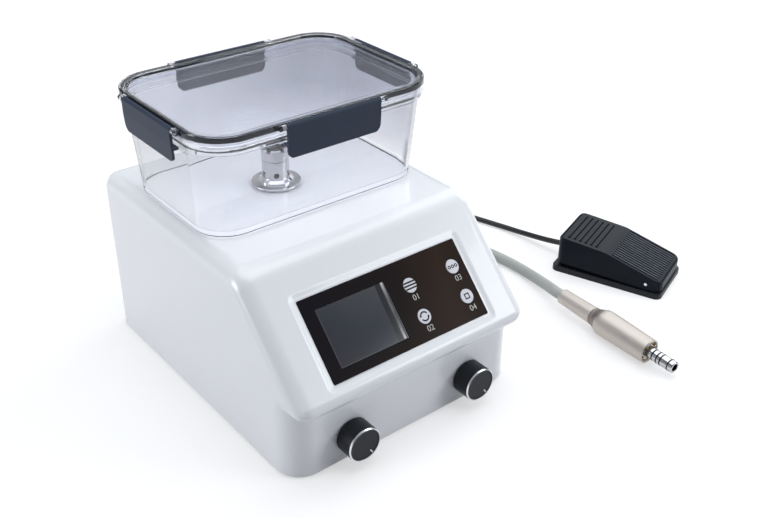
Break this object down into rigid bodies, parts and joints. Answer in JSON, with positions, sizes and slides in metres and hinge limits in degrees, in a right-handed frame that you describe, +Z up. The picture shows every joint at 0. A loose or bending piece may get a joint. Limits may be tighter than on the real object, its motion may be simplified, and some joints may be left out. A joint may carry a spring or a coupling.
{
  "type": "dental micromotor",
  "caption": "Desktop control unit for a dental micromotor with a latched water tank on top, a handpiece motor on a hose and a foot switch on a cable.",
  "frame": {"origin": "on the floor, at the middle of the footprint of the control unit, motor and foot switch", "axes": "+Z up, -Y out of the control unit's front, +X to its right seen from the front"},
  "size_m": [0.4354, 0.5289, 0.2178],
  "materials": {
    "housing_white": "glossy moulded plastic",
    "panel_dark": "glossy printed film with a thin light border",
    "display_dark": "unlit display behind its window",
    "key_grey": "satin moulded plastic with dark icons",
    "knob_black": "satin moulded plastic",
    "knob_ring_bright": "polished ring",
    "tank_clear": "clear glossy plastic",
    "lid_clear": "clear glossy plastic with a smoky middle",
    "gasket_black": "soft rubber",
    "latch_dark": "dark glossy plastic",
    "column_steel": "polished steel",
    "plain_steel": "turned or drawn steel",
    "base_sheet": "painted sheet steel",
    "foot_rubber": "soft rubber",
    "board_green": "circuit board with its parts",
    "supply_metal": "open frame supply",
    "pump_metal": "cast head on a steel motor",
    "pot_metal": "pressed can",
    "inlet_black": "black moulded plastic",
    "gland_rubber": "soft moulded boot",
    "motor_metal": "warm grey satin metal",
    "nose_chrome": "polished chrome",
    "contact_metal": "gilt contacts on a steel face",
    "ring_rubber": "greased rubber ring",
    "hose_grey": "soft grey hose",
    "cable_black": "black cable sheath",
    "pedal_black": "black moulded cover with ribs and grooves",
    "pedal_base_black": "black moulded base",
    "switch_black": "small switch body"
  },
  "bodies": {
    "control_unit": {"housing_shell": "housing_white", "display_panel": "panel_dark", "display_module": "display_dark", "tank": "tank_clear", "column_seal": "gasket_black", "outlet_column": "column_steel", "column_cap": "column_steel", "column_nut": "plain_steel", "stator": "plain_steel", "pedal_pin": "plain_steel", "pedal_spring": "plain_steel", "base_plate": "base_sheet", "foot_front_left": "foot_rubber", "foot_front_right": "foot_rubber", "foot_rear_left": "foot_rubber", "foot_rear_right": "foot_rubber", "main_board": "board_green", "power_supply": "supply_metal", "air_pump": "pump_metal", "water_pump": "pump_metal", "potentiometer_left": "pot_metal", "potentiometer_right": "pot_metal", "mains_inlet": "inlet_black", "hose_gland": "gland_rubber", "cable_gland": "gland_rubber", "motor_body": "motor_metal", "motor_sleeve": "motor_metal", "motor_nose": "nose_chrome", "contact_disc": "contact_metal", "o_ring_1": "ring_rubber", "o_ring_2": "ring_rubber", "o_ring_3": "ring_rubber", "o_ring_4": "ring_rubber", "hose_lead": "hose_grey", "hose_coil": "hose_grey", "hose": "hose_grey", "cable_lead": "cable_black", "cable_coil": "cable_black", "cable": "cable_black", "pedal_base": "pedal_base_black", "micro_switch": "switch_black"},
    "left_knob": {"knob_left": "knob_black", "knob_ring_left": "knob_ring_bright", "pot_shaft_left": "plain_steel"},
    "right_knob": {"knob_right": "knob_black", "knob_ring_right": "knob_ring_bright", "pot_shaft_right": "plain_steel"},
    "mode_key": {"key_mode": "key_grey"},
    "direction_key": {"key_direction": "key_grey"},
    "air_key": {"key_air": "key_grey"},
    "memory_key": {"key_memory": "key_grey"},
    "rocker": {"power_rocker": "inlet_black"},
    "tank_lid": {"lid": "lid_clear", "lid_gasket": "gasket_black"},
    "front_latch": {"latch_front": "latch_dark"},
    "back_latch": {"latch_back": "latch_dark"},
    "left_latch": {"latch_left": "latch_dark"},
    "right_latch": {"latch_right": "latch_dark"},
    "pedal": {"pedal_cover": "pedal_black"},
    "rotor": {"rotor_spindle": "plain_steel"}
  },
  "joints": [
    {"name": "left_knob_turn", "type": "hinge", "parent": "control_unit", "child": "left_knob", "pos_m": [-0.16784, -0.09871, 0.0214], "axis": [0, -1, 0], "range_deg": [-15, 285]},
    {"name": "right_knob_turn", "type": "hinge", "parent": "control_unit", "child": "right_knob", "pos_m": [-0.06105, -0.09871, 0.0214], "axis": [0, -1, 0], "range_deg": [-15, 285]},
    {"name": "mode_key_press", "type": "slide", "parent": "control_unit", "child": "mode_key", "axis": [0, 0.7193, -0.6947], "range_m": [0, 0.0004], "stiffness_N_per_m": 1500, "springref_m": -0.0003},
    {"name": "direction_key_press", "type": "slide", "parent": "control_unit", "child": "direction_key", "axis": [0, 0.7193, -0.6947], "range_m": [0, 0.0004], "stiffness_N_per_m": 1500, "springref_m": -0.0003},
    {"name": "air_key_press", "type": "slide", "parent": "control_unit", "child": "air_key", "axis": [0, 0.7193, -0.6947], "range_m": [0, 0.0004], "stiffness_N_per_m": 1500, "springref_m": -0.0003},
    {"name": "memory_key_press", "type": "slide", "parent": "control_unit", "child": "memory_key", "axis": [0, 0.7193, -0.6947], "range_m": [0, 0.0004], "stiffness_N_per_m": 1500, "springref_m": -0.0003},
    {"name": "rocker_tilt", "type": "hinge", "parent": "control_unit", "child": "rocker", "pos_m": [-0.17444, 0.15789, 0.0555], "axis": [1, 0, 0], "range_deg": [0, 14]},
    {"name": "lid_lift", "type": "slide", "parent": "control_unit", "child": "tank_lid", "axis": [0, 0, 1], "range_m": [0, 0.07]},
    {"name": "front_latch_swing", "type": "hinge", "parent": "tank_lid", "child": "front_latch", "pos_m": [-0.11445, -0.01196, 0.21565], "axis": [-1, 0, 0], "range_deg": [0, 110]},
    {"name": "back_latch_swing", "type": "hinge", "parent": "tank_lid", "child": "back_latch", "pos_m": [-0.11445, 0.13654, 0.21565], "axis": [1, 0, 0], "range_deg": [0, 110]},
    {"name": "left_latch_swing", "type": "hinge", "parent": "tank_lid", "child": "left_latch", "pos_m": [-0.2156, 0.06229, 0.21565], "axis": [0, 1, 0], "range_deg": [0, 110]},
    {"name": "right_latch_swing", "type": "hinge", "parent": "tank_lid", "child": "right_latch", "pos_m": [-0.01329, 0.06229, 0.21565], "axis": [0, -1, 0], "range_deg": [0, 110]},
    {"name": "pedal_press", "type": "hinge", "parent": "control_unit", "child": "pedal", "pos_m": [0.18593, -0.08111, 0.0107], "axis": [-0.9359, -0.3522, 0], "range_deg": [0, 2], "stiffness_Nm_per_rad": 4, "springref_deg": -2.86, "deforming": ["pedal_spring"]},
    {"name": "rotor_spin", "type": "hinge", "parent": "control_unit", "child": "rotor", "pos_m": [0.08696, -0.06061, 0.01262], "axis": [-0.0323, -0.9992, -0.0225], "continuous": true}
  ]
}
